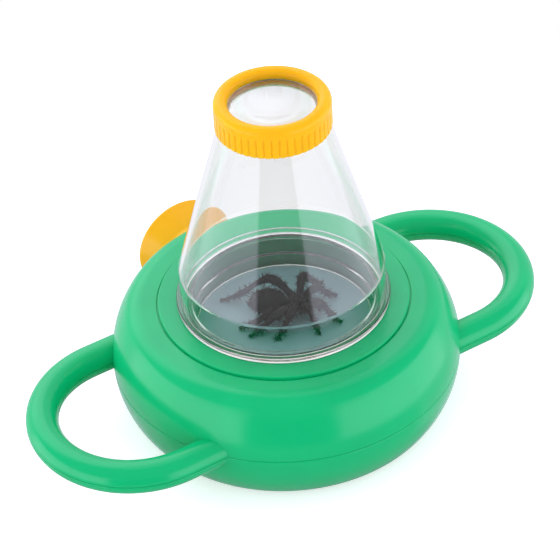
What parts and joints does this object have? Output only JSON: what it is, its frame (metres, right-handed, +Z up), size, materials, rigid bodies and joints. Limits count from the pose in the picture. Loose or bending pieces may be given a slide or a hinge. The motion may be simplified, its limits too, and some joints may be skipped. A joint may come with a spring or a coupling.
{
  "type": "two-way insect viewer",
  "caption": "Child's insect viewer: clear cone with magnifier cap and specimen dish on a round green body with loop handles, mirror and side eyepiece for seeing it from below.",
  "frame": {"origin": "middle of the flat base, on the table", "axes": "+Z up, +X along the two handles, +Y out of the side eyepiece"},
  "size_m": [0.211, 0.142, 0.1369],
  "materials": {
    "green_shell": "semi-gloss moulded",
    "orange_plastic": "semi-gloss moulded",
    "clear_plastic": "clear moulded polystyrene",
    "mirror_face": "polished",
    "holder_black": "matt moulded",
    "spider_black": "soft toy plastic",
    "screw_steel": "zinc plated"
  },
  "bodies": {
    "base": {"lower_shell": "green_shell", "upper_shell": "green_shell", "shell_screws": "screw_steel", "mirror": "mirror_face", "mirror_holder": "holder_black", "mirror_screws": "screw_steel", "eyepiece_cup": "orange_plastic", "eyepiece_lens": "clear_plastic", "eyepiece_lens_ring": "orange_plastic"},
    "dish": {"specimen_dish": "clear_plastic", "toy_spider": "spider_black"},
    "cone": {"viewing_cone": "clear_plastic"},
    "top_lens": {"magnifier_lens": "clear_plastic"},
    "cap": {"magnifier_cap": "orange_plastic"}
  },
  "joints": [
    {"name": "dish_lift", "type": "slide", "parent": "base", "child": "dish", "axis": [0, 0, 1], "range_m": [0, 0.03]},
    {"name": "cone_lift", "type": "slide", "parent": "dish", "child": "cone", "axis": [0, 0, 1], "range_m": [0, 0.035]},
    {"name": "lens_rise", "type": "slide", "parent": "cone", "child": "top_lens", "axis": [0, 0, 1], "range_m": [0, 0.0045]},
    {"name": "cap_turn", "type": "hinge", "parent": "top_lens", "child": "cap", "pos_m": [0, 0, 0.1316], "axis": [0, 0, 1], "range_deg": [0, 540]}
  ],
  "couplings": [
    {"joint": "lens_rise", "follows": "cap_turn", "m_per_rad": 0.00047746}
  ]
}
